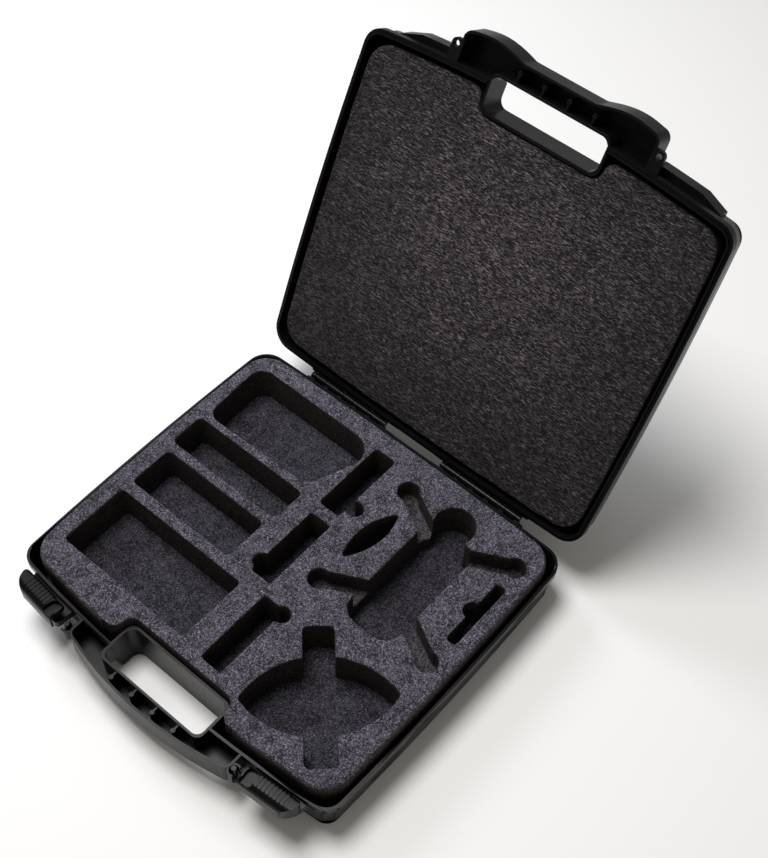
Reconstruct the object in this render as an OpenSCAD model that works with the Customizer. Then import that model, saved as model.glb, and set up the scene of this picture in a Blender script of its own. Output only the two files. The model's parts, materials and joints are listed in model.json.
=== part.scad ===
// Hard carrying case for a small drone, opened flat on its base.
// The origin is the middle of the underside. +X runs to the right hand latch,
// -Y is the handle side, +Y the hinge side and +Z is up. Millimetres.

/* [Case] */
// Width between the virtual side corners
case_w = 360; // [330:1:400]
// Depth from handle side to hinge side, without the handle
case_d = 312; // [290:1:340]
// Height of the base half, underside to parting plane
base_h = 46; // [44:1:56]
// Height of the lid half, parting plane to top
lid_h = 28; // [27:1:40]
// Thickness of the moulded walls
wall = 2.5; // [2:0.1:3]
// How far the walls lean in for each millimetre of height
lean = 0.097; // [0.09:0.001:0.101]
// How far the front side bows outwards
front_bow = 11; // [8:0.5:13]
// How far each short side bows outwards
side_bow = 3.3; // [1:0.1:5]
// How far the hinge side bows outwards
back_bow = 3; // [1:0.1:4]
// Plan radius of the two front corners
front_r = 17; // [14:1:22]
// Plan radius of the two back corners
back_r = 21; // [14:1:26]
// Lid angle at the open stop, from closed
open_angle = 115.8; // [90:0.1:120]

/* [Handle] */
// Half width of the finger opening
finger_half = 56; // [50:1:60]
// Distance from the middle of the case to the wall behind the fingers
recess_y = 138.5; // [136:0.5:142]
// Distance to the finger side of the grip bar, base half
base_bar_y = 174.5; // [170:0.5:176]
// Distance to the finger side of the grip bar, lid half
lid_bar_y = 168; // [166:0.5:174]
// Distance to the front of the grip bar at its middle, base half
base_front_y = 191; // [189:0.5:192]
// Distance to the front of the grip bar, lid half
lid_front_y = 187; // [186:0.5:189]
// Half width over the two end blocks
block_half = 93; // [92:0.5:94]
// Depth of the hollow grip bar in the base half
base_bar_h = 26; // [20:1:30]
// Depth of the hollow grip bar in the lid half
lid_bar_h = 20; // [16:1:24]

/* [Hinges] */
// Distance from the back corners' line to the hinge axis
hinge_back = 6.2; // [6:0.1:7]
// Outer radius of a hinge knuckle
knuckle_r = 3.1; // [2.9:0.1:3.2]
// Diameter of the steel hinge pin
pin_d = 2.4; // [2:0.1:2.6]
// Pitch of the lid's knuckles
knuckle_pitch = 17.2; // [17:0.1:18]
// Length of each lid knuckle
lid_knuckle = 12; // [10:0.5:12.5]

/* [Latches] */
// Length of a latch slide
slide_len = 52; // [48:1:54]
// Travel of a latch slide from open to locked
slide_travel = 12; // [10:0.5:12]
// Height of the slide's top above the parting plane
slide_top = 12; // [11:0.5:13]
// Angle of each latch to the width of the case
latch_slant = 5; // [3:0.5:6]

/* [Foam] */
// How far the base foam stands above the parting plane
foam_proud = 10; // [6:0.5:10]
// Thickness of the foam layer under the cut-outs
floor_foam = 15; // [10:1:18]
// Gap between each foam block and the parting line outline
foam_inset = 8; // [7.9:0.1:9]
// Plan radius of the foam corners
foam_r = 24; // [18:1:28]
// Depth of the slots for the drone's arms
arm_depth = 22; // [16:1:30]

/* [Hidden] */
$fn = 48;

half_w = case_w / 2;
half_d = case_d / 2;
hinge_y = half_d + hinge_back;
hinge_z = base_h;
pin_fit = 0.05;
rim_band = 7;
rim_step = 1.5;
edge_chamfer = 3;
lid_gap = 0.3;
lid_top = base_h + lid_gap + lid_h;
foam_top = base_h + foam_proud;
foam_gap = 0.8;
floor_top = wall + 0.2 + floor_foam;
tongue_h = 2.2;
lug_x = 97;
lug_y = 175;
lug_h = 4.2;
lug_hole_r = 2.6;
locating_pin_r = 2.3;
latch_x = 133;
latch_y = 171.5;
first_knuckle = 44;
knuckle_count = 5;
hinge_leaf_in = 22;
hinge_leaf_out = 128;
over = 1;
panel_inset = 34;
panel_r = 12;
panel_depth = 0.8;
tongue_gap = 0.6;
tongue_t = 1.5;
grip_wall = 2.2;
base_bow = 12.5;
lid_bow = 0.5;
block_r = 8;
lid_swell = 6;
swell_from = 34;
swell_len = 64;
rib_t = 1.8;
rib_drop = 2;
rib_boss_r = 2.2;
rib_places = [-36, -12, 12, 36];
lug_r = 4.8;
cup_r = 6;
cup_wall = 1.6;
cup_h = 13;
pad_out = 4.5;
pad_from = 95;
pad_to = 156;
knuckle_gap = 0.3;
web_h = 5.5;
strip_h = 3.5;
rail_from = -22;
slot_end_wall = 5.5;
rail_len = slide_len / 2 - slot_end_wall - slide_travel - 0.6 - rail_from;
rail_drop = 14;
rail_seat = 6;
rail_out = 5;
neck_half = 2;
head_half = 4;
head_t = 4;
slide_out = 10;
slide_in = 8;
slide_foot = 5.4;
slide_wall = 2.5;
hook_len = 16.5;
ridge_h = 0.6;
ridge_count = 8;
ridge_from = -12.5;
ridge_foot = 3;
ridge_out = 4.5;
ridge_pitch = 3.7;
ridge_t = 2.5;
thumb_depth = 5;
battery_slot_size = [22, 77];
finger_r = 8;
guard_at = [108, -86];
guard_angle = 43;
drone_at = [93.5, 55.3];
motor_span = 119;
motor_r = 10;
arm_half = 8;

plastic = [0.07, 0.07, 0.075];
grip_plastic = [0.11, 0.11, 0.12];
steel = [0.75, 0.75, 0.77];
base_foam_colour = [0.27, 0.26, 0.30];
lid_foam_colour = [0.20, 0.19, 0.21];

// ---- plan outlines -------------------------------------------------------

function arc(c, r, a0, a1, n = 8) =
    [for (i = [0:n]) c + r * [cos(a0 + (a1 - a0) * i / n), sin(a0 + (a1 - a0) * i / n)]];

// Points strictly between p and q on a shallow curve that bulges to the right of p-q
function bow(p, q, full, sag, n = 8) =
    let (d = q - p, len = norm(d), out = [d[1], -d[0]] / len, s = sag * pow(len / full, 2))
    [for (i = [1:n - 1]) let (t = i / n) p + t * d + 4 * s * t * (1 - t) * out];

// Front edge between the corner arcs, with the bay behind the grip if bay is given
// as [half width, distance, outer radius, inner radius]
function front_edge(p, q, bay) =
    let (s = front_bow * pow((q[0] - p[0]) / case_w, 2))
    len(bay) == 0
    ? bow(p, q, case_w, front_bow, 16)
    : let (nx = bay[0], ny = bay[1], ro = bay[2], ri = bay[3],
           edge = function (x) p[1] - s * (1 - pow(x / q[0], 2)),
           left = concat(
               [for (i = [1:7]) let (x = p[0] + i / 8 * (-nx - ro - p[0])) [x, edge(x)]],
               arc([-nx - ro, edge(nx + ro) + ro], ro, -90, 0, 6),
               arc([-nx + ri, -ny - ri], ri, 180, 90, 6)))
      concat(left, [for (i = [len(left) - 1:-1:0]) [-left[i][0], left[i][1]]]);

// Bowed, round cornered outline, g inside the parting line outline
function outline(g, rf, rb, bay = []) =
    let (hw = half_w - g, hd = half_d - g,
         af = atan(4 * front_bow / case_w),
         as = atan(4 * side_bow / case_d),
         ab = atan(4 * back_bow / case_w),
         fr = arc([hw - rf, -hd + rf], rf, -90 + af, -as),
         br = arc([hw - rb, hd - rb], rb, as, 90 - ab),
         bl = arc([-hw + rb, hd - rb], rb, 90 + ab, 180 - as),
         fl = arc([-hw + rf, -hd + rf], rf, 180 + as, 270 - af))
    concat(fr, bow(fr[8], br[0], case_d, side_bow),
           br, bow(br[8], bl[0], case_w, back_bow),
           bl, bow(bl[8], fl[0], case_d, side_bow),
           fl, front_edge(fl[8], fr[0], bay));

module plan(g) {
    polygon(outline(g, max(front_r - g, 6), max(back_r - g, 6)));
}

// Solid that narrows from inset g0 at its foot to inset g1 at height h
module tapered(g0, g1, h) {
    mirror([0, 0, 1])
        translate([0, 0, -h])
            linear_extrude(h, slices = 1, scale = [(half_w - g0) / (half_w - g1),
                                                   (half_d - g0) / (half_d - g1)])
                plan(g1);
}

module bay_plan(grow) {
    polygon(concat(
        arc([finger_half + grow - 8, -recess_y + grow - 8], 8, 0, 90, 6),
        arc([-finger_half - grow + 8, -recess_y + grow - 8], 8, 90, 180, 6),
        [[-finger_half - grow, -base_front_y - 10], [finger_half + grow, -base_front_y - 10]]));
}

module both_sides() {
    children();
    mirror([1, 0, 0]) children();
}

// ---- the two mouldings ---------------------------------------------------
// Each half is drawn floor down, with its floor at z = 0 and its parting plane at z = h

function draft(h) = rim_step + (h - rim_band - edge_chamfer) * lean;

module shell_body(h) {
    tapered(draft(h) + edge_chamfer, draft(h), edge_chamfer);
    translate([0, 0, edge_chamfer])
        tapered(draft(h), rim_step, h - rim_band - edge_chamfer);
    translate([0, 0, h - rim_band])
        linear_extrude(rim_band) plan(0);
}

// The walls and floor of one half. Children are raised on its outside
module shell_half(h) {
    difference() {
        union() {
            shell_body(h);
            children();
        }
        difference() {
            union() {
                translate([0, 0, wall])
                    tapered(draft(h) + wall, wall, h - wall);
                translate([0, 0, h - 0.01])
                    linear_extrude(over) plan(wall);
            }
            linear_extrude(h + 2 * over) bay_plan(wall);
        }
        translate([0, 0, -over])
            linear_extrude(h + 2 * over) bay_plan(0);
    }
}

// Front of the grip at x: a shallow bow with an arched swelling over each end block
function grip_front(x, front, bow, swell) =
    let (t = min(max((abs(x) - swell_from) / swell_len, 0), 1))
    -front + bow * pow(x / block_half, 2) - swell * sin(180 * t);

// Outline of the hollow grip and its end blocks, g inside the full size
module grip_plan(g, bar_y, front, bow, swell) {
    r = block_r - g;
    far = block_half - block_r;
    corner_y = grip_front(far, front, bow, swell) + block_r;
    difference() {
        polygon(concat(
            [[block_half - g, -recess_y], [-block_half + g, -recess_y]],
            arc([-far, corner_y], r, 180, 255, 6),
            [for (i = [-19:19])
                let (x = i / 20 * far) [x, grip_front(x, front, bow, swell) + g]],
            arc([far, corner_y], r, 285, 360, 6)));
        finger_plan(g, bar_y);
    }
}

module finger_plan(grow, bar_y) {
    x = finger_half + grow;
    polygon(concat(
        arc([x - 8, -recess_y + grow - 8], 8, 0, 90, 6),
        arc([-x + 8, -recess_y + grow - 8], 8, 90, 180, 6),
        arc([-x + 7, -bar_y - grow + 7], 7, 180, 270, 6),
        arc([x - 7, -bar_y - grow + 7], 7, 270, 360, 6)));
}

// Hollow half of the carrying handle, open at the parting plane. Short ribs reach
// from the finger side to round posts along the middle of the bar
module half_handle(h, depth, bar_y, front, bow, swell) {
    middle = (front + bar_y) / 2;
    difference() {
        union() {
            difference() {
                translate([0, 0, h - depth])
                    linear_extrude(depth) grip_plan(0, bar_y, front, bow, swell);
                translate([0, 0, h - depth + grip_wall])
                    linear_extrude(depth) grip_plan(grip_wall, bar_y, front, bow, swell);
            }
            for (x = rib_places)
                translate([x, 0, h - depth + grip_wall / 2]) {
                    translate([-rib_t / 2, -middle, 0])
                        cube([rib_t, middle - bar_y - grip_wall / 2,
                              depth - grip_wall / 2 - rib_drop]);
                    translate([0, -middle, 0])
                        cylinder(r = rib_boss_r, h = depth - grip_wall / 2 - rib_drop);
                }
        }
        shell_body(h);
    }
}

// Open cup beside each end block, with the pin that the lid's lug drops over
module lug_cup() {
    translate([lug_x, -lug_y, base_h - 0.4 - cup_h]) {
        difference() {
            cylinder(r = cup_r, h = cup_h);
            translate([0, 0, grip_wall])
                cylinder(r = cup_r - cup_wall, h = cup_h);
            translate([2.5, -cup_r, grip_wall])
                cube([cup_r, 2 * cup_r, cup_h]);
        }
        cylinder(r = locating_pin_r, h = cup_h + 0.4 + 0.3 + lug_h - 0.7);
    }
}

module base_handle() {
    color(plastic) {
        half_handle(base_h, base_bar_h, base_bar_y, base_front_y, base_bow, 0);
        both_sides() lug_cup();
    }
}

module lid_handle() {
    color(plastic) lid_frame() lid_place()
        difference() {
            union() {
                half_handle(lid_h, lid_bar_h, lid_bar_y, lid_front_y, lid_bow, lid_swell);
                difference() {
                    both_sides()
                        translate([0, 0, lid_h - 0.3 - lug_h]) {
                            translate([lug_x, -lug_y, 0])
                                cylinder(r = lug_r, h = lug_h);
                            translate([block_half - 2, -lug_y - lug_r, 0])
                                cube([lug_x - block_half + 2, 2 * lug_r, lug_h]);
                            translate([block_half - 2, -lug_y, 0])
                                cube([lug_x + lug_r - block_half + 2, lug_r + 12, lug_h]);
                        }
                    shell_body(lid_h);
                }
            }
            both_sides()
                translate([lug_x, -lug_y, 0])
                    cylinder(r = lug_hole_r, h = lid_h + over);
        }
}

// ---- shells ---------------------------------------------------------------

module lid_frame() {
    translate([0, hinge_y, hinge_z])
        rotate([-open_angle, 0, 0])
            translate([0, -hinge_y, -hinge_z])
                children();
}

// Turns a half that was drawn floor down into the closed lid's place
module lid_place() {
    translate([0, 0, lid_top]) mirror([0, 0, 1]) children();
}

module base_shell() {
    color(plastic) shell_half(base_h);
}

// Lip that drops inside the base's rim and keeps dust out
module tongue() {
    difference() {
        union() {
            translate([0, 0, lid_h - 3])
                linear_extrude(3)
                    plan(wall - 0.1);
            linear_extrude(lid_h + tongue_h)
                plan(wall + tongue_gap);
        }
        translate([0, 0, -over])
            linear_extrude(lid_h + tongue_h + 2 * over) {
                plan(wall + tongue_gap + tongue_t);
                bay_plan(wall + tongue_gap);
            }
        translate([0, 0, -over])
            linear_extrude(lid_h - 3 + over) plan(0);
    }
}

// Shallow panel sunk into the top of the lid
module lid_panel() {
    translate([0, 0, -over])
        linear_extrude(over + panel_depth)
            polygon(outline(panel_inset, panel_r, panel_r,
                            [finger_half + panel_inset, recess_y - panel_inset, panel_r, panel_r]));
}

// Raised pad on the front of the lid over each latch, fairing in near the corner
module latch_pad() {
    translate([0, 0, 1])
        linear_extrude(lid_h - slide_top - 1.6)
            intersection() {
                plan(-pad_out);
                polygon([[pad_from, -half_d + 8], [pad_to, -half_d + 8], [pad_to, -half_d],
                         [pad_to - 24, -half_d - 9], [pad_from, -half_d - 25]]);
            }
}

module lid_shell() {
    color(plastic) lid_frame() lid_place() {
        difference() {
            shell_half(lid_h) both_sides() latch_pad();
            lid_panel();
        }
        tongue();
    }
}

// ---- hinges ---------------------------------------------------------------

module knuckle(x, len) {
    translate([x - len / 2, hinge_y, hinge_z])
        rotate([0, 90, 0]) cylinder(r = knuckle_r, h = len);
}

module pin_bore() {
    translate([0, hinge_y, hinge_z])
        rotate([0, 90, 0]) cylinder(r = pin_d / 2 + pin_fit, h = half_w);
}

// Knuckles with their webs and the strip that carries them. side is 1 for the
// half above the hinge axis and -1 for the half below it
module hinge_leaf(places, len, side) {
    low = side > 0 ? 0.4 : -web_h;
    strip = side > 0 ? knuckle_r + 0.4 : -knuckle_r - 0.4 - strip_h;
    difference() {
        union() {
            for (x = places) {
                knuckle(x, len);
                translate([x - len / 2, half_d - 4, hinge_z + low])
                    cube([len, hinge_back + 4, web_h - 0.4]);
            }
            translate([hinge_leaf_in, half_d - 4, hinge_z + strip])
                cube([hinge_leaf_out - hinge_leaf_in, hinge_back + 2.6, strip_h]);
        }
        pin_bore();
        if (side < 0)
            shell_body(base_h);
        else
            lid_place() shell_body(lid_h);
    }
}

module base_hinge() {
    len = knuckle_pitch - lid_knuckle - 2 * knuckle_gap;
    hinge_leaf([for (i = [0:knuckle_count]) first_knuckle + (i - 0.5) * knuckle_pitch], len, -1);
}

module lid_hinge() {
    hinge_leaf([for (i = [0:knuckle_count - 1]) first_knuckle + i * knuckle_pitch],
               lid_knuckle, 1);
}

module hinge_pin() {
    from = first_knuckle - knuckle_pitch / 2 - 3;
    translate([from, hinge_y, hinge_z])
        rotate([0, 90, 0])
            cylinder(d = pin_d, h = knuckle_count * knuckle_pitch + 6);
}

module base_hinge_right() {
    color(plastic) base_hinge();
}

module base_hinge_left() {
    color(plastic) mirror([1, 0, 0]) base_hinge();
}

module lid_hinge_right() {
    color(plastic) lid_frame() lid_hinge();
}

module lid_hinge_left() {
    color(plastic) lid_frame() mirror([1, 0, 0]) lid_hinge();
}

module hinge_pin_right() {
    color(steel) hinge_pin();
}

module hinge_pin_left() {
    color(steel) mirror([1, 0, 0]) hinge_pin();
}

// ---- latches --------------------------------------------------------------
// In a latch's own frame +X runs along the slide away from the grip

module latch_frame() {
    translate([latch_x, -latch_y, base_h]) rotate([0, 0, latch_slant]) children();
}

// Footing of a latch, which fairs into the case towards the corner
module rail_plan() {
    end = slide_len / 2;
    polygon(concat([[end + 3, 16], [-end + 1, 16]],
                   arc([-end + 5, -rail_out + 4], 4, 180, 270, 4),
                   arc([end - 18, 20 - rail_out], 20, 270, 320, 8)));
}

module latch_rail() {
    difference() {
        latch_frame() {
            translate([0, 0, -rail_drop])
                linear_extrude(rail_drop - rail_seat) rail_plan();
            translate([rail_from, -neck_half, -rail_seat - 0.1])
                cube([rail_len, 2 * neck_half, rail_seat + 1.2]);
            translate([rail_from, -head_half, 1])
                cube([rail_len, 2 * head_half, head_t]);
        }
        shell_body(base_h);
    }
}

// Cross section of a slide, g inside the full size, in the plane across its travel
module slide_section(g) {
    top = slide_top - g;
    polygon(concat(
        [[-slide_out + g, -slide_foot], [slide_in - g, -slide_foot]],
        arc([slide_in - g - 3, top - 3], 3, 0, 90, 4),
        arc([-slide_out + g + 7, top - 7], 7, 90, 180, 8)));
}

module slide_run(from, len, g) {
    translate([from, 0, 0])
        rotate([90, 0, 90])
            linear_extrude(len) slide_section(g);
}

// Plan of a slide, widest at the end that hooks over the lid's lug
module slide_plan() {
    end = slide_len / 2;
    polygon(concat(
        arc([-end + 5, slide_in - 5], 5, 90, 180, 6),
        arc([-end + 2, -slide_out + 2], 2, 180, 270, 4),
        arc([end - 16, -slide_out + 16], 16, 270, 345, 8),
        arc([end - 5, slide_in - 5], 5, 0, 90, 6)));
}

module latch_slide() {
    end = slide_len / 2;
    difference() {
        intersection() {
            union() {
                slide_run(-end, slide_len, ridge_h);
                for (i = [0:ridge_count - 1])
                    intersection() {
                        slide_run(ridge_from + i * ridge_pitch, ridge_t, 0);
                        translate([-end, -ridge_out, ridge_foot])
                            cube([slide_len, ridge_out + slide_in, slide_top]);
                    }
            }
            translate([0, 0, -slide_foot - over])
                linear_extrude(slide_top + slide_foot + 2 * over) slide_plan();
        }
        translate([-end - over, -head_half - 0.5, 0.5])
            cube([slide_len - slot_end_wall + over, 2 * head_half + 1, head_t + 1]);
        translate([-end - over, -neck_half - 0.6, -slide_foot - over])
            cube([slide_len - slot_end_wall + over, 2 * neck_half + 1.2, slide_foot + 2 * over]);
        translate([-end - over, -slide_out + slide_wall, -slide_foot - over])
            cube([hook_len + over, slide_out + slide_in, slide_foot + over + head_t + 1.5]);
        translate([0, 0, slide_top - thumb_depth])
            linear_extrude(thumb_depth + over) thumb_plan();
    }
}

// Open pocket in the top of the hook, for the thumb
module thumb_plan() {
    end = slide_len / 2;
    low = [-end + 1.6, -slide_out + 2];
    high = [-end + 12, slide_in - 2];
    polygon(concat(
        arc([low[0] + 4, high[1] - 4], 4, 90, 180, 6),
        arc([low[0] + 1.5, low[1] + 1.5], 1.5, 180, 270, 4),
        arc([high[0] - 3, low[1] + 3], 3, 270, 360, 6),
        arc([high[0] - 6, high[1] - 6], 6, 0, 90, 6)));
}

module base_latch_rail_right() {
    color(plastic) latch_rail();
}

module base_latch_rail_left() {
    color(plastic) mirror([1, 0, 0]) latch_rail();
}

module latch_slide_right() {
    color(grip_plastic) latch_frame() latch_slide();
}

module latch_slide_left() {
    color(grip_plastic) mirror([1, 0, 0]) latch_frame() latch_slide();
}

// ---- foam -----------------------------------------------------------------

module foam_plan() {
    polygon(outline(foam_inset, foam_r, foam_r,
                    [finger_half + wall + 1.5, recess_y - wall - 1.5, 10, 9]));
}

module base_foam_floor() {
    color(base_foam_colour)
        translate([0, 0, wall + 0.2])
            linear_extrude(floor_foam) foam_plan();
}

module base_foam_insert() {
    color(base_foam_colour)
        difference() {
            translate([0, 0, floor_top])
                linear_extrude(foam_top - floor_top) foam_plan();
            translate([0, 0, floor_top - over])
                linear_extrude(foam_top - floor_top + 2 * over) deep_pockets();
            translate([0, 0, foam_top - arm_depth])
                linear_extrude(arm_depth + over) arm_slots();
        }
}

module lid_foam() {
    depth = lid_h + lid_gap - foam_proud - foam_gap;
    color(lid_foam_colour) lid_frame() lid_place()
        translate([0, 0, wall + 0.2])
            linear_extrude(depth - wall - 0.2) foam_plan();
}

// Rectangle between two corners with rounded corners
module round_rect(low, high, r) {
    polygon(concat(
        arc([high[0] - r, low[1] + r], r, 270, 360, 4),
        arc([high[0] - r, high[1] - r], r, 0, 90, 4),
        arc([low[0] + r, high[1] - r], r, 90, 180, 4),
        arc([low[0] + r, low[1] + r], r, 180, 270, 4)));
}

// Lens between two equal arcs, along X, with the given length and width
module lens(length, width) {
    a = length / 2;
    b = width / 2;
    r = (a * a + b * b) / (2 * b);
    half = asin(a / r);
    polygon(concat(arc([0, b - r], r, 90 - half, 90 + half, 16),
                   arc([0, r - b], r, 270 - half, 270 + half, 16)));
}

// Slot for one battery with the hollow for a fingertip beside it
module battery_slot(corner, thumb) {
    translate(corner) round_rect([0, 0], battery_slot_size, 2);
    translate(corner + thumb) circle(finger_r);
}

module controller_pocket() {
    polygon(concat(
        arc([-41, 110.5], 20, -15, 90, 6),
        arc([-146, 116], 15, 90, 180, 6),
        arc([-148, 69], 11, 180, 270, 4),
        arc([-49, 74], 14, 270, 345, 4)));
}

module guard_pocket() {
    translate(guard_at)
        rotate(guard_angle) {
            lens(132, 72);
            round_rect([-13, -62], [13.5, 64], 4);
        }
}

module drone_body_pocket() {
    translate(drone_at) {
        round_rect([-26, -71], [27, 50], 16);
        translate([-6, 58]) circle(19);
    }
}

module deep_pockets() {
    controller_pocket();
    round_rect([-161.5, 15], [-36, 50.5], 4);
    round_rect([-156.5, -40], [-39.5, 4.5], 4);
    round_rect([-157.5, -120.5], [-13.5, -52], 2);
    battery_slot([-17.5, 54], [28, 15]);
    battery_slot([-15.5, -36], [1, 12]);
    battery_slot([11, -124], [23, 73]);
    translate([38.5, 57.5]) rotate(82) lens(66, 19);
    round_rect([151.5, 22.5], [161, 92.5], 2);
    translate([151.5, 58]) circle(finger_r);
    guard_pocket();
    drone_body_pocket();
}

// Four slots from the drone's body to its motors
module arm_slots() {
    reach = motor_span / 2;
    translate(drone_at)
        for (sx = [-1, 1], sy = [-1, 1])
            translate([sx * reach, sy * reach]) {
                circle(motor_r);
                rotate(atan2(-sy * 22, -sx * 42))
                    translate([0, -arm_half])
                        square([46, 2 * arm_half]);
            }
}

base_shell();
base_handle();
base_latch_rail_left();
base_latch_rail_right();
base_hinge_left();
base_hinge_right();
base_foam_floor();
base_foam_insert();
hinge_pin_left();
hinge_pin_right();
lid_shell();
lid_handle();
lid_hinge_left();
lid_hinge_right();
lid_foam();
latch_slide_left();
latch_slide_right();
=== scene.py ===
import json
import math

import bpy
import numpy as np
from mathutils import Matrix, Vector, noise


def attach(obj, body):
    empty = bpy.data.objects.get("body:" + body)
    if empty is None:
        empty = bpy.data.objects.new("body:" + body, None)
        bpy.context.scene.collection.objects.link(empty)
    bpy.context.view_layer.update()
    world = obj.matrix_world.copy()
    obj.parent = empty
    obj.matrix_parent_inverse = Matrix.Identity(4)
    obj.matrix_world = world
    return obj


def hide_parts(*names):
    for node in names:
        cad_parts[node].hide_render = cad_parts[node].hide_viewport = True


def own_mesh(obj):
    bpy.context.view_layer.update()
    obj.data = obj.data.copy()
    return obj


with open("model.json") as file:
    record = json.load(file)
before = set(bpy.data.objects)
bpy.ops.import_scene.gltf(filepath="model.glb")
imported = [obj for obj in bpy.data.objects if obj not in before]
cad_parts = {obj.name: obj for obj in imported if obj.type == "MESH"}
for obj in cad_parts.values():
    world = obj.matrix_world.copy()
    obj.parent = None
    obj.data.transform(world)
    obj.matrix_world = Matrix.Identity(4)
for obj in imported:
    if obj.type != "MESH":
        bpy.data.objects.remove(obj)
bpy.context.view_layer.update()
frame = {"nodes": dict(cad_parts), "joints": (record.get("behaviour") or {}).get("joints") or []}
MM = 0.001
LID_FOAM_TOP = 71.6 * MM  # against the inside of the lid, closed
LID_FOAM_KEEP = 0.61  # share of the lid foam's thickness left when the case is shut

# In millimetres
RIM_SWELL = 1.9  # how far the base foam swells into its gap under the rim
SWELL_FOOT, SWELL_TOP = 22, 55.5  # heights between which it swells
OUTER_X, OUTER_Y = 163, 138  # beyond these a face of the base foam is an outer side
GRIP_BAY_HALF = 76  # half the width of the bay behind the grip, with its rounded corners
KNIFE_WAVE = 28  # length of the waves that the knife leaves in foam
TORN_CELL = 3.1  # distance between torn cells
SHELL_EDGE, SMALL_EDGE = 0.8, 0.3  # roundings of moulded edges
FOAM_VOXEL = 1.3  # cell of the foam's remesh

# ---- camera ---------------------------------------------------------------

CAMERA_PLACE = Vector((0.43017, -0.42865, 1.05672))
CAMERA_TURN = Matrix((
    (0.7522469, -0.5621809, 0.3436238),
    (0.6587839, 0.6327805, -0.4069306),
    (0.0113302, 0.5324861, 0.8463629),
))
FOCAL_LENGTH = 56.94
CAMERA_SHIFT = (0.0349, 0.1166)


def make_camera():
    data = bpy.data.cameras.new("camera")
    data.sensor_width = 36
    data.lens = FOCAL_LENGTH
    data.shift_x, data.shift_y = CAMERA_SHIFT
    data.clip_start, data.clip_end = 0.05, 20
    camera = bpy.data.objects.new("camera", data)
    camera.matrix_world = Matrix.Translation(CAMERA_PLACE) @ CAMERA_TURN.to_4x4()
    bpy.context.scene.collection.objects.link(camera)
    bpy.context.scene.camera = camera


# ---- light and floor ------------------------------------------------------


def area_light(name, place, target, size, power, colour):
    data = bpy.data.lights.new(name, "AREA")
    data.shape = "DISK"
    data.size = size
    data.energy = power
    data.color = colour
    light = bpy.data.objects.new(name, data)
    light.location = place
    light.rotation_euler = (Vector(target) - Vector(place)).to_track_quat("-Z", "Y").to_euler()
    bpy.context.scene.collection.objects.link(light)


def make_light():
    area_light("ceiling", place=(-0.45, 0.0, 1.95), target=(0, 0.08, 0.05), size=0.95, power=34,
               colour=(1.0, 0.985, 0.985))
    area_light("window", place=(-1.6, 0.35, 1.35), target=(0, 0.05, 0.05), size=0.7, power=15,
               colour=(0.86, 0.92, 1.0))
    area_light("bounce", place=(1.5, -1.7, 0.9), target=(0.05, 0, 0.1), size=1.0, power=3.0,
               colour=(1.0, 0.84, 0.66))
    world = bpy.data.worlds.new("studio")
    world.use_nodes = True
    background = world.node_tree.nodes["Background"]
    background.inputs["Color"].default_value = (1.0, 0.975, 0.94, 1)
    background.inputs["Strength"].default_value = 0.22
    bpy.context.scene.world = world
    bpy.context.scene.view_settings.view_transform = "Standard"


def make_floor():
    mesh = bpy.data.meshes.new("floor")
    mesh.from_pydata([(-6, -6, 0), (6, -6, 0), (6, 6, 0), (-6, 6, 0)], [], [(0, 1, 2, 3)])
    floor = bpy.data.objects.new("floor", mesh)
    bpy.context.scene.collection.objects.link(floor)
    material = Shader("floor")
    material.set(Base_Color=(0.86, 0.855, 0.84, 1), Roughness=0.75)
    mesh.materials.append(material.material)


# ---- materials ------------------------------------------------------------


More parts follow.
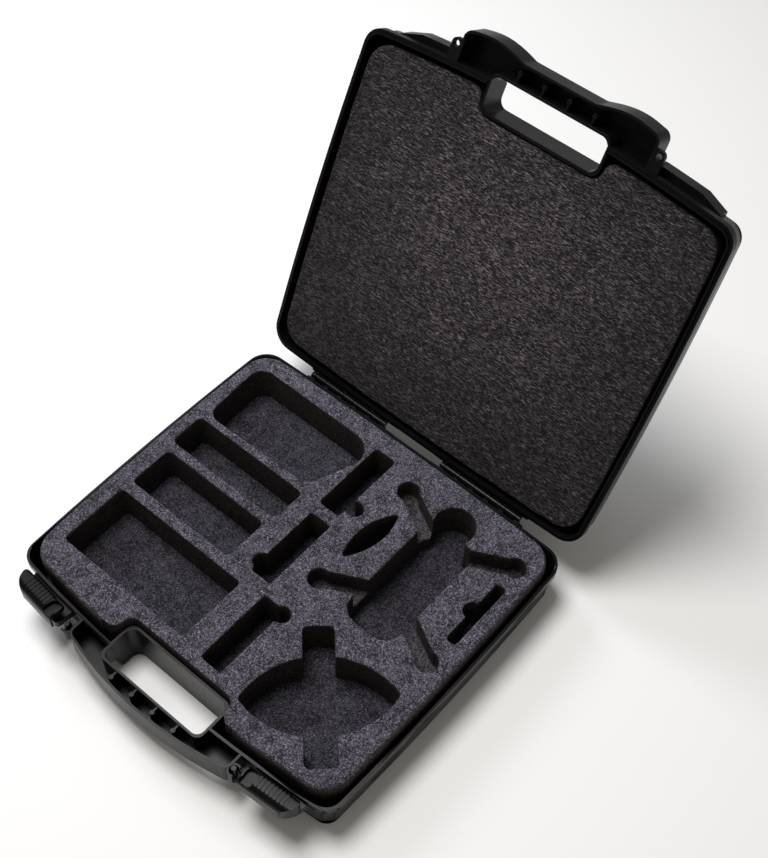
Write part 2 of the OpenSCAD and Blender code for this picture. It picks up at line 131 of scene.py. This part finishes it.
class Shader:
    """A principled material and short calls that add the nodes it needs."""

    def __init__(self, name):
        self.material = bpy.data.materials.new(name)
        self.material.use_nodes = True
        self.tree = self.material.node_tree
        self.surface = self.tree.nodes["Principled BSDF"]

    def set(self, **values):
        for name, value in values.items():
            self.surface.inputs[name.replace("_", " ")].default_value = value

    def node(self, kind, **inputs):
        made = self.tree.nodes.new("ShaderNode" + kind)
        for name, value in inputs.items():
            socket = made.inputs[name.replace("_", " ")]
            if isinstance(value, bpy.types.NodeSocket):
                self.tree.links.new(value, socket)
            else:
                socket.default_value = value
        return made

    def place(self, stretch=(1, 1, 1)):
        """Object coordinates in metres, each divided by its stretch."""
        coordinates = self.node("TexCoord").outputs["Object"]
        scale = [1 / s for s in stretch]
        return self.node("Mapping", Vector=coordinates, Scale=scale).outputs["Vector"]

    def noise(self, size, detail=2.0, roughness=0.5, distortion=0.0, stretch=(1, 1, 1)):
        """Noise with features about size millimetres wide."""
        made = self.node("TexNoise", Vector=self.place(stretch), Scale=1 / (size * MM),
                         Detail=detail, Roughness=roughness, Distortion=distortion)
        return made.outputs["Fac"]

    def attribute(self, name):
        made = self.node("Attribute")
        made.attribute_name = name
        return made.outputs["Fac"]

    def lines(self, size, width, stretch=(1, 1, 1)):
        """Broken wandering lines about size millimetres apart: 0 on a line and 1 away from it."""
        field = self.noise(size, detail=3, roughness=0.6, distortion=1.2, stretch=stretch)
        centred = self.node("Math", Value=field)
        centred.operation = "SUBTRACT"
        centred.inputs[1].default_value = 0.5
        folded = self.node("Math", Value=centred.outputs[0])
        folded.operation = "ABSOLUTE"
        broken = self.ramp(self.noise(size * 1.7, detail=2), (0.46, 1.0), (0.54, 0.0))
        line = self.ramp(folded.outputs[0], (0.0, 0.0), (width, 1.0))
        return self.mix(1.0, line, broken, "LIGHTEN")

    def ramp(self, value, *stops):
        """Colour ramp from (position, colour) stops; a number stands for a grey."""
        made = self.node("ValToRGB", Fac=value)
        elements = made.color_ramp.elements
        while len(elements) < len(stops):
            elements.new(0.5)
        for element, (position, colour) in zip(elements, stops):
            element.position = position
            if isinstance(colour, (int, float)):
                colour = (colour,) * 3
            element.color = (*colour, 1)
        return made.outputs["Color"]

    def mix(self, factor, a, b, blend="MIX"):
        made = self.tree.nodes.new("ShaderNodeMix")
        made.data_type = "RGBA"
        made.blend_type = blend
        for index, value in ((0, factor), (6, a), (7, b)):
            if isinstance(value, bpy.types.NodeSocket):
                self.tree.links.new(value, made.inputs[index])
            elif index == 0:
                made.inputs[index].default_value = value
            else:
                made.inputs[index].default_value = (*value, 1) if len(value) == 3 else value
        return made.outputs[2]

    def link(self, value, name):
        self.tree.links.new(value, self.surface.inputs[name])

    def bump(self, height, depth, under=None):
        """Bump of depth millimetres, on top of the bump under it."""
        made = self.node("Bump", Height=height, Distance=depth * MM, Strength=1.0)
        if under is not None:
            self.tree.links.new(under, made.inputs["Normal"])
        return made.outputs["Normal"]


def moulded_plastic(name, dark, light, rough, shine):
    """Textured polypropylene: fine spark-eroded grain, faint flow marks and rubbed patches."""
    shader = Shader(name)
    flow = shader.noise(45, detail=5, roughness=0.55)
    speck = shader.noise(0.9, detail=3, roughness=0.65)
    colour = shader.mix(shader.ramp(flow, (0.35, 0.0), (0.7, 1.0)), dark, light)
    shader.link(colour, "Base Color")
    shader.link(shader.ramp(flow, (0.3, rough + 0.05), (0.75, rough - 0.05)), "Roughness")
    shader.link(shader.bump(speck, 0.04), "Normal")
    shader.set(Specular_IOR_Level=shine)
    return shader.material


def cut_foam(name, tones, wall, size, stretch, tear, wrinkle):
    """Closed cell foam with torn cells. tones are dark, middle and fleck colours, wall the colour
    of knife cut faces, size the grain in millimetres, tear the share of torn surface and wrinkle
    the distance between creases in millimetres."""
    shader = Shader(name)
    dark, middle, fleck = tones
    grain = shader.noise(size, detail=4, roughness=0.7, distortion=0.7, stretch=stretch)
    coarse = shader.noise(size * 4.5, detail=4, roughness=0.65, distortion=2.4, stretch=stretch)
    tears = shader.noise(size * 2.4, detail=3, roughness=0.7, distortion=3.0, stretch=stretch)
    cloud = shader.noise(52, detail=3)
    # the fleck colour is partly the foam's light flecks and partly painted highlights where cell
    # walls catch the light
    tone = shader.ramp(grain, (0.40, dark), (0.50, middle), (0.62, fleck))
    patches = shader.ramp(coarse, (0.36, 0.45), (0.5, 0.95), (0.66, 1.4))
    colour = shader.mix(0.8, tone, patches, "MULTIPLY")
    creases = shader.lines(wrinkle, 0.035, stretch)
    # painted shade in the creases: their lines are darkened in colour as well as bumped
    colour = shader.mix(creases, [0.6 * c for c in dark], colour)
    colour = shader.mix(shader.ramp(tears, (tear - 0.05, 1.0), (tear, 0.0)), colour, dark)
    colour = shader.mix(0.6, colour, shader.ramp(cloud, (0.32, 0.78), (0.68, 1.2)), "MULTIPLY")
    # painted shade: multiplies the colour down to half where the falloff is 0, darkening the lid
    # foam towards its edges
    dust = shader.ramp(shader.attribute("dust"), (0.0, 0.5), (1.0, 1.0))
    colour = shader.mix(1.0, colour, dust, "MULTIPLY")
    # knife-cut wall colour, also used as painted shade on deep pocket floors
    sawn_and_shade_tone = shader.ramp(grain, (0.38, [0.45 * c for c in wall]), (0.5, wall),
                       (0.64, [2.6 * c for c in wall]))
    sawn_and_shade_tone = shader.mix(0.85, sawn_and_shade_tone, shader.ramp(coarse, (0.4, 0.35), (0.6, 1.5)), "MULTIPLY")
    # mask: the cut-wall colour on upright cut faces, and painted shade on deep pocket floors
    cut = shader.ramp(shader.attribute("cut"), (0.0, 0.0), (1.0, 0.94))
    colour = shader.mix(cut, colour, sawn_and_shade_tone)
    shader.link(colour, "Base Color")
    height = shader.mix(0.5, grain, tears)
    shader.link(shader.bump(height, 1.3, under=shader.bump(creases, 0.5)), "Normal")
    shader.set(Roughness=0.78, Specular_IOR_Level=0.25)
    return shader.material


def brushed_pin(name):
    shader = Shader(name)
    lines = shader.noise(0.8, detail=3, stretch=(12, 1, 1))
    shader.link(shader.ramp(lines, (0.3, 0.42), (0.7, 0.62)), "Base Color")
    shader.link(shader.ramp(lines, (0.3, 0.42), (0.7, 0.28)), "Roughness")
    shader.set(Metallic=1.0)
    return shader.material


# ---- pieces ---------------------------------------------------------------


def finish_cad_node(name, material, bevel):
    """Gives a CAD node its material and rounds its moulded edges by bevel millimetres."""
    node = frame["nodes"][name]
    node.data.materials.clear()
    node.data.materials.append(material)
    node.data.set_sharp_from_angle(angle=math.radians(32))
    weld = node.modifiers.new("weld", "WELD")
    weld.merge_threshold = 0.01 * MM
    if bevel:
        flat = node.modifiers.new("flat", "DECIMATE")
        flat.decimate_type = "DISSOLVE"
        flat.angle_limit = math.radians(0.4)
        rounded = node.modifiers.new("rounded", "BEVEL")
        rounded.width = bevel * MM
        rounded.segments = 2
        rounded.limit_method = "ANGLE"
        rounded.angle_limit = math.radians(38)
        even = node.modifiers.new("even", "WEIGHTED_NORMAL")
        even.keep_sharp = True


def evaluated_copy(source, name, modifiers):
    """New object with source's mesh after the given modifiers, as (kind, settings)."""
    work = source.copy()
    work.data = source.data.copy()
    bpy.context.scene.collection.objects.link(work)
    work.modifiers.clear()
    for kind, settings in modifiers:
        made = work.modifiers.new(kind.lower(), kind)
        for key, value in settings.items():
            setattr(made, key, value)
    bpy.context.view_layer.update()
    evaluated = work.evaluated_get(bpy.context.evaluated_depsgraph_get())
    mesh = bpy.data.meshes.new_from_object(evaluated)
    mesh.name = name
    bpy.data.objects.remove(work)
    return mesh


def foam_piece(node_name, name, body, material, lid=False):
    """Foam block with soft cut edges, uneven cut faces and torn cells, in a CAD node's place."""
    source = frame["nodes"][node_name]
    turned = source.copy()
    turned.data = source.data.copy()
    for key in list(turned.keys()):
        del turned[key]
    turned.parent = None
    if lid:
        turned.data.transform(lid_turn(1))
        turned.data.transform(lid_stretch())
    bpy.context.scene.collection.objects.link(turned)
    mesh = evaluated_copy(turned, name, (
        ("WELD", {"merge_threshold": 0.01 * MM}),
        ("REMESH", {"mode": "VOXEL", "voxel_size": FOAM_VOXEL * MM}),
        ("SMOOTH", {"factor": 0.5, "iterations": 5}),
    ))
    bpy.data.objects.remove(turned)
    if not lid:
        bulge(mesh)
    # also marks deep pocket floors for painted shade
    mark_cut_faces(mesh)
    # painted shade: on the lid foam the colour darkens towards the edges
    mark_dust(mesh, lid)
    roughen(mesh)
    if lid:
        mesh.transform(lid_turn(-1))
    mesh.shade_smooth()
    mesh.materials.clear()
    mesh.materials.append(material)
    piece = bpy.data.objects.new(name, mesh)
    bpy.context.scene.collection.objects.link(piece)
    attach(piece, body)
    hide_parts(node_name)
    return piece


def lid_stretch():
    """Thickens the closed lid foam to its free thickness, away from the lid's top."""
    return (Matrix.Translation((0, 0, LID_FOAM_TOP))
            @ Matrix.Diagonal((1, 1, 1 / LID_FOAM_KEEP, 1))
            @ Matrix.Translation((0, 0, -LID_FOAM_TOP)))


def ease(t):
    """Smooth step from 0 to 1, level outside that range."""
    t = np.clip(t, 0, 1)
    return t * t * (3 - 2 * t)


def rows(mesh):
    """A mesh's points and normals, one row each."""
    count = len(mesh.vertices)
    points, normals = np.empty(count * 3), np.empty(count * 3)
    mesh.vertices.foreach_get("co", points)
    mesh.vertex_normals.foreach_get("vector", normals)
    return points.reshape(-1, 3), normals.reshape(-1, 3)


def write_attribute(mesh, name, values):
    attribute = mesh.attributes.new(name, "FLOAT", "POINT")
    attribute.data.foreach_set("value", values.astype(np.float32))


def mark_cut_faces(mesh):
    """Writes 1 on upright cut walls, for their darker knife-cut colour, and less on deep pocket
    floors, as painted shade in the pockets.
    """
    points, normals = rows(mesh)
    upright = 1 - ease((np.abs(normals[:, 2]) - 0.25) / 0.6)
    height = points[:, 2]
    in_base = height.min() < 30 * MM
    # painted shade: points more than 6 mm below the top of a base piece turn towards the cut-wall
    # colour, up to a mask value of 0.6 at 14 mm
    deep = np.clip((height.max() - height - 6 * MM) / (8 * MM), 0, 1) * in_base
    write_attribute(mesh, "cut", np.maximum(upright, 0.6 * deep))


def bulge(mesh):
    """Swells the foam's outer sides towards the shell's rim, all round except behind the grip."""
    points, normals = rows(mesh)
    x, y, z = (points / MM).T
    side = (np.abs(x) > OUTER_X) & (normals[:, 0] * x > 0)
    end = (np.abs(y) > OUTER_Y) & (normals[:, 1] * y > 0)
    grip = (np.abs(x) < GRIP_BAY_HALF) & (y < 0)
    fall = np.clip((SWELL_TOP - z) / 6, 0, 1)
    swell = RIM_SWELL * ease((z - SWELL_FOOT) / 14) * (fall * (2 - fall)) * ((side | end) & ~grip)
    points[:, :2] += normals[:, :2] * swell[:, None] * MM
    mesh.vertices.foreach_set("co", points.ravel())
    mesh.update()


def mark_dust(mesh, lid):
    """Writes a painted light falloff for each point: even all over, or on the lid brightest near
    the middle and darker towards the edges, as painted shade.
    """
    points, _ = rows(mesh)
    dust = np.ones(len(points))
    if lid:
        middle = (points.max(axis=0) + points.min(axis=0)) / 2
        half = (points.max(axis=0) - points.min(axis=0)) / 2
        across, along = ((points - middle) / half)[:, :2].T
        dust = ease(1.12 - np.sqrt((0.9 * across) ** 2 + (0.8 * along + 0.16) ** 2)) ** 1.3
    write_attribute(mesh, "dust", dust)


def lid_turn(direction):
    """Turns the lid from open to closed (1) or back (-1)."""
    joint = next(j for j in frame["joints"] if j["name"] == "lid_hinge")
    pivot = Matrix.Translation(Vector(joint["pos_m"]))
    angle = math.radians(joint["range_deg"][1]) * direction
    turn = Matrix.Rotation(angle, 4, Vector(joint["axis"]))
    return pivot @ turn @ pivot.inverted()


def roughen(mesh):
    """Moves a foam mesh inwards unevenly: slow waves of the knife and small torn cells."""
    points, normals = rows(mesh)
    depth = np.empty(len(points))
    for i, p in enumerate(points):
        wave = noise.noise(Vector(p) / (KNIFE_WAVE * MM))
        cell = noise.noise(Vector(p) / (TORN_CELL * MM))
        depth[i] = 0.35 * abs(wave) + 0.3 * abs(cell)
    points -= normals * depth[:, None] * MM
    mesh.vertices.foreach_set("co", points.ravel())
    mesh.update()


# ---- the case -------------------------------------------------------------

make_camera()
make_light()
make_floor()

# the fleck tone is partly painted highlights of cell walls
INSERT_TONES = ((0.011, 0.01, 0.013), (0.064, 0.058, 0.078), (0.235, 0.22, 0.28))
# painted shade: the insert's foam at 0.45 of its tones, for the pocket floors under the insert
SHADED_FLOOR_TONES = [[0.45 * c for c in tone] for tone in INSERT_TONES]
# painted shade: the lid foam is the insert's foam painted much darker for the grazing light it
# gets, its bright fleck colour painted highlights
SHADED_LID_TONES = ((0.0008, 0.0006, 0.0006), (0.004, 0.0032, 0.0037), (0.265, 0.22, 0.25))
BASE_GRAIN = {"wall": (0.026, 0.019, 0.016), "size": 1.15, "stretch": (1, 1, 1), "tear": 0.39,
              "wrinkle": 7}
# painted shade: the lid's cut walls are darker than the base's; its grain is stretched into
# streaks, which also shape the bump, for painted highlights of grazing light
LID_GRAIN = {"wall": (0.009, 0.007, 0.006), "size": 0.66, "stretch": (6.5, 1, 1), "tear": 0.4,
             "wrinkle": 3.5}

shell_plastic = moulded_plastic("shell_plastic", dark=(0.0022, 0.0022, 0.0026),
                                light=(0.0044, 0.0044, 0.0052), rough=0.3, shine=0.14)
latch_plastic = moulded_plastic("latch_plastic", dark=(0.002, 0.002, 0.0027),
                                light=(0.0038, 0.0038, 0.005), rough=0.3, shine=0.11)
base_foam = cut_foam("base_foam", INSERT_TONES, **BASE_GRAIN)
# painted shade: the darkened copy of the insert foam, for the foam floor
floor_foam = cut_foam("floor_foam", SHADED_FLOOR_TONES, **BASE_GRAIN)
# painted shade and painted highlights come from the lid's tones and grain above
lid_foam = cut_foam("lid_foam", SHADED_LID_TONES, **LID_GRAIN)
pin_steel = brushed_pin("pin_steel")

for node_name in ("base_shell", "base_handle", "lid_shell", "lid_handle"):
    finish_cad_node(node_name, shell_plastic, SHELL_EDGE)
for node_name in ("base_latch_rail", "base_hinge", "lid_hinge"):
    for side in ("_left", "_right"):
        finish_cad_node(node_name + side, shell_plastic, SMALL_EDGE)
for side in ("_left", "_right"):
    finish_cad_node("latch_slide" + side, latch_plastic, SMALL_EDGE)
    finish_cad_node("hinge_pin" + side, pin_steel, 0)

foam_piece("base_foam_floor", "foam_floor", "base", floor_foam)
foam_piece("base_foam_insert", "foam_insert", "base", base_foam)
lid_piece = foam_piece("lid_foam", "foam_lid", "lid", lid_foam, lid=True)
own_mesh(lid_piece)
